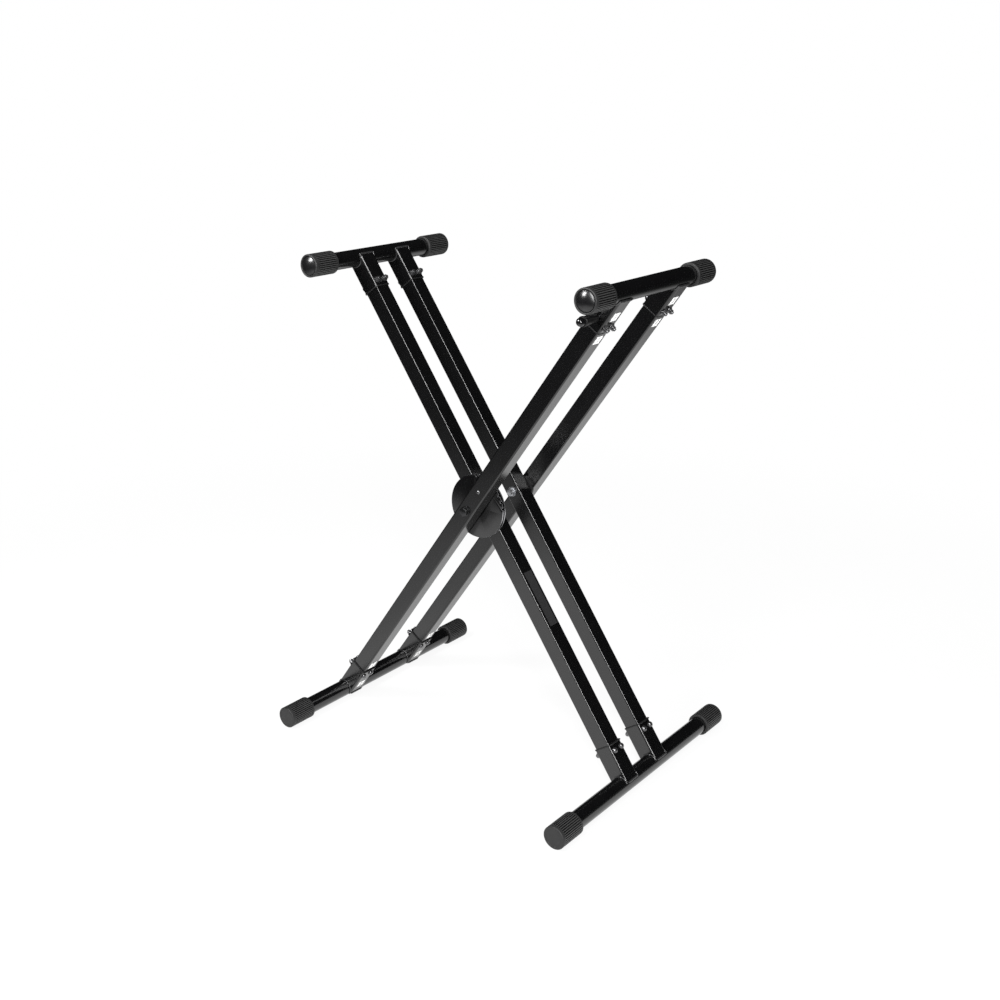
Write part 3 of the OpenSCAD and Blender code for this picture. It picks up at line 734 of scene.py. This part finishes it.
def straightBead():
    clearHands()
    half, endSize, near = bead["length"] / 2, bead["endSize"], bead["endReach"]
    bpy.ops.mesh.primitive_circle_add(vertices=bead["rowSides"], radius=bead["radius"] * endSize,
                                      location=(0, -half, 0), rotation=(math.radians(90), 0, 0))
    piece = bpy.context.object
    bpy.ops.object.transform_apply(location=True, rotation=True, scale=True)
    bpy.ops.object.mode_set(mode="EDIT")
    bpy.ops.mesh.select_all(action="SELECT")
    rings = round(bead["length"] / bead["pitch"])
    size = endSize
    step = bead["length"] / rings
    for k in range(1, rings + 1):
        y = -half + step * k
        bpy.ops.mesh.extrude_edges_move(TRANSFORM_OT_translate={"value": (0, step, 0)})
        wanted = bead["ripple"][k % len(bead["ripple"])] if k < rings else endSize
        share = wanted / size
        bpy.ops.transform.resize(value=(share, 1, share), center_override=(0, y, 0))
        size = wanted
    closeRing(piece, lambda at: at.y > half - near)
    closeRing(piece, lambda at: at.y < -half + near)
    bpy.ops.mesh.select_all(action="SELECT")
    bpy.ops.mesh.normals_make_consistent(inside=False)
    bpy.ops.object.mode_set(mode="OBJECT")
    return piece


def arcBead():
    clearHands()
    reach, steps, near = bead["arcRadius"], bead["arcSteps"], bead["endReach"]
    bpy.ops.mesh.primitive_circle_add(vertices=bead["arcSides"], radius=bead["arcThick"],
                                      location=(reach, 0, 0))
    piece = bpy.context.object
    bpy.ops.object.transform_apply(location=True, rotation=True, scale=True)
    bpy.ops.object.mode_set(mode="EDIT")
    bpy.ops.mesh.select_all(action="SELECT")
    bpy.ops.mesh.spin(steps=steps, angle=math.pi, center=(0, 0, 0), axis=(0, 1, 0))
    shape = bmesh.from_edit_mesh(piece.data)
    below = 1 if max(v.co.z for v in shape.verts) > reach / 2 else -1

    def turnOf(at):
        return math.degrees(math.atan2(at.z * below, at.x))

    for k in range(1, steps):
        middle = 180 * k / steps
        turn = math.radians(middle)
        centre = (reach * math.cos(turn), 0, below * reach * math.sin(turn))
        choose(piece, "VERT", lambda at: abs(turnOf(at) - middle) < 90 / steps)
        size = bead["ripple"][(k * 5) % len(bead["ripple"])]
        bpy.ops.transform.resize(value=(size, size, size), center_override=centre)
    closeRing(piece, lambda at: abs(at.z) < near and at.x > 0)
    closeRing(piece, lambda at: abs(at.z) < near and at.x < 0)
    bpy.ops.mesh.select_all(action="SELECT")
    bpy.ops.mesh.normals_make_consistent(inside=False)
    bpy.ops.object.mode_set(mode="OBJECT")
    return piece, below


def makeWelds():
    straight = straightBead()
    curved, below = arcBead()
    for leg in ("outer", "inner"):
        parts = []
        for tubeY in stand["tubesY"][leg]:
            for end, reach in (("top", stand["upperLeg"]), ("bottom", -stand["lowerLeg"])):
                sign = endSign[end]
                for x in (-1, 1):
                    place = Matrix.Translation((x * stand["stub"] / 2, tubeY, reach - sign * bead["lift"]))
                    parts.append(twin(straight, "bead", legMatrix[leg] @ place))
                    place = Matrix.Translation((0, tubeY + x * stand["stub"] / 2, reach))
                    turn = Matrix.Rotation(math.pi if below == sign else 0, 4, "Y")
                    parts.append(twin(curved, "bead", legMatrix[leg] @ place @ turn))
        hold(parts[0])
        for part in parts:
            part.select_set(True)
        bpy.ops.object.join()
        welds = bpy.context.object
        welds.name = leg + "WeldBeads"
        welds.data.materials.append(beadCoat)
        finish(welds, leg + "_leg", "powder_coat", leg + "_welds", angle=70)
    bpy.data.objects.remove(straight)
    bpy.data.objects.remove(curved)


makeWelds()
print("stage: weld beads made")

# The joints are numbered on their stickers, with plain numbers
marks = {
    "size": 0.0125,
    "thick": 0.00003,
    "sticker": 0.00025,
    "places": ((0.4475, "stub"), (0.401, "tube"), (-0.435, "tube"), (-0.496, "stub")),
}


def makeNumbers():
    for sideIndex, side in enumerate(("near", "far")):
        for k, (up, carrier) in enumerate(marks["places"]):
            clearHands()
            bpy.ops.object.text_add(location=(0, 0, 0))
            text = bpy.context.object
            text.name = f"{side}JointNumber{k + 1}"
            text.data.body = str(1 + sideIndex * 2 + k // 2)
            text.data.size = marks["size"]
            text.data.extrude = marks["thick"]
            text.data.align_x, text.data.align_y = "CENTER", "CENTER"
            bpy.ops.object.convert(target="MESH")
            number = bpy.context.object
            out = stand[carrier] / 2 + marks["sticker"] + marks["thick"]
            place = Matrix.Translation((out, stand["tubesY"]["outer"][sideIndex], up))
            turn = Matrix(((0, 0, 1, 0), (1, 0, 0, 0), (0, 1, 0, 0), (0, 0, 0, 1)))
            settle(number, legMatrix["outer"] @ place @ turn)
            number.data.materials.append(stickerInk)
            finish(number, "outer_leg", "sticker")


makeNumbers()
print("stage: joint numbers made")

studio = {
    "floorSize": 14.0,
    "floorWhite": 0.87,
    "floorGlow": 0.9,
    "glowFrom": 0.9,
    "glowTo": 2.0,
    "shineReach": 4.0,
    "shine": ((0.95, 1.0), (1.2, 0.78), (1.38, 0.5), (1.52, 0.33), (1.72, 0.2), (1.9, 0.08),
              (2.2, 0.035), (2.8, 0.015), (4.0, 0.01)),
    # Painted shadow on the floor's reflected glow, darker towards the left
    "paintedShadowFrom": -0.33,
    "paintedShadowTo": -0.55,
    "dusk": 0.62,
    "dark": 0.006,
    "ambient": 0.5,
    "aim": (0, 0, 0.45),
}
upright = (0.0, 0.0, 1.0)
alongLeg = (-0.5736, 0.0, 0.8192)
lamps = {
    "keyLamp": {"place": (1.45, -1.85, 1.9), "size": (0.5, 3.0), "power": 106.0, "along": alongLeg},
    "leftLamp": {"place": (-0.51, -1.01, 1.58), "size": (0.45, 0.45), "power": 24.0, "along": upright},
    "rightLamp": {"place": (1.5, -0.2, 1.8), "size": (0.2, 0.2), "power": 4.0, "along": upright},
}


def floorShare(look, away):
    sockets = {"Value": away, "From Min": studio["glowFrom"], "From Max": studio["glowTo"],
               "To Min": studio["floorGlow"], "To Max": 1.0}
    return look.node("ShaderNodeMapRange", {"interpolation_type": "SMOOTHSTEP"}, sockets)


# Painted shadow: the floor's glow seen in reflections is darker on the left, past the outer leg's feet, standing
# in for the stand's own shadow there
def leftPaintedShadow(look):
    across = look.node("ShaderNodeSeparateXYZ", None, {"Vector": look.place()}, out="X")
    sockets = {"Value": across, "From Min": studio["paintedShadowTo"], "From Max": studio["paintedShadowFrom"],
               "To Min": studio["dusk"], "To Max": 1.0}
    return look.node("ShaderNodeMapRange", {"interpolation_type": "SMOOTHSTEP"}, sockets)


def makeFloorLook():
    look = Look("paleFloor")
    seen = look.node("ShaderNodeLightPath", out="Is Camera Ray")
    glossy = look.node("ShaderNodeLightPath", out="Is Glossy Ray")
    through = look.node("ShaderNodeLightPath", out="Is Transmission Ray")
    away = look.node("ShaderNodeVectorMath", {"operation": "LENGTH"}, {0: look.place()}, out="Value")
    matt = look.node("ShaderNodeBsdfDiffuse", None, {"Color": grey(studio["floorWhite"])})
    glow = look.node("ShaderNodeEmission", None, {"Color": grey(1.0), "Strength": 1.0})
    dim = look.node("ShaderNodeEmission", None, {"Color": grey(studio["dark"]), "Strength": 1.0})
    share = (seen + through) * floorShare(look, away)
    plain = look.node("ShaderNodeMixShader", None, {0: share, 1: matt, 2: glow})
    stops = [(reach / studio["shineReach"], shade) for reach, shade in studio["shine"]]
    faded = look.node("ShaderNodeValToRGB", {"stops": stops}, {0: away / studio["shineReach"]})
    shine = look.node("ShaderNodeMixShader", None, {0: faded * leftPaintedShadow(look), 1: dim, 2: glow})
    both = look.node("ShaderNodeMixShader", None, {0: glossy, 1: plain, 2: shine})
    look.node("ShaderNodeOutputMaterial", None, {"Surface": both})
    return look.owner


def makeStudio():
    clearHands()
    bpy.ops.mesh.primitive_plane_add(size=studio["floorSize"])
    floor = bpy.context.object
    floor.name = "studioFloor"
    floor.data.materials.append(makeFloorLook())
    for name, lamp in lamps.items():
        bpy.ops.object.light_add(type="AREA", location=lamp["place"])
        light = bpy.context.object
        light.name = name
        light.data.shape = "RECTANGLE"
        light.data.size, light.data.size_y = lamp["size"]
        light.data.energy = lamp["power"]
        aim = (light.location - Vector(studio["aim"])).normalized()
        along = Vector(lamp["along"])
        long = (along - aim * along.dot(aim)).normalized()
        light.rotation_mode = "QUATERNION"
        light.rotation_quaternion = Matrix((long.cross(aim), long, aim)).transposed().to_quaternion()
    world = bpy.data.worlds.new("studioWorld")
    bpy.context.scene.world = world
    look = Look("studioWorld", world)
    seen = look.node("ShaderNodeLightPath", out="Is Camera Ray")
    glossy = look.node("ShaderNodeLightPath", out="Is Glossy Ray")
    through = look.node("ShaderNodeLightPath", out="Is Transmission Ray")
    plain = studio["ambient"] * (1.0 - seen - glossy - through)
    strength = seen + (glossy + through) * studio["dark"] + plain
    shade = look.node("ShaderNodeBackground", None, {"Color": grey(1.0), "Strength": strength})
    look.node("ShaderNodeOutputWorld", None, {"Surface": shade})


makeStudio()
print("stage: studio built")

# The camera stands where the photographer's did
photographer = {
    "place": (1.2369, -1.6293, 1.1509),
    "turn": 40.40,
    "down": 18.243,
    "roll": -0.613,
    "lens": 44.98,
    "shiftX": 0.0652,
    "shiftY": -0.0207,
}


def makeCamera():
    bpy.ops.object.camera_add(location=photographer["place"])
    camera = bpy.context.object
    camera.name = "photographerCamera"
    turn, down, roll = (math.radians(photographer[k]) for k in ("turn", "down", "roll"))
    ahead = Vector((-math.sin(turn) * math.cos(down), math.cos(turn) * math.cos(down), -math.sin(down)))
    right = Vector((math.cos(turn), math.sin(turn), 0.0))
    up = right.cross(ahead)
    right, up = right * math.cos(roll) + up * math.sin(roll), up * math.cos(roll) - right * math.sin(roll)
    camera.rotation_mode = "QUATERNION"
    camera.rotation_quaternion = Matrix((right, up, -ahead)).transposed().to_quaternion()
    camera.data.lens = photographer["lens"]
    camera.data.sensor_width = 36.0
    camera.data.shift_x = photographer["shiftX"]
    camera.data.shift_y = photographer["shiftY"]
    camera.data.clip_start, camera.data.clip_end = 0.01, 100.0
    bpy.context.scene.camera = camera


makeCamera()
bpy.context.scene.view_settings.view_transform = "Standard"
print("stage: camera placed")
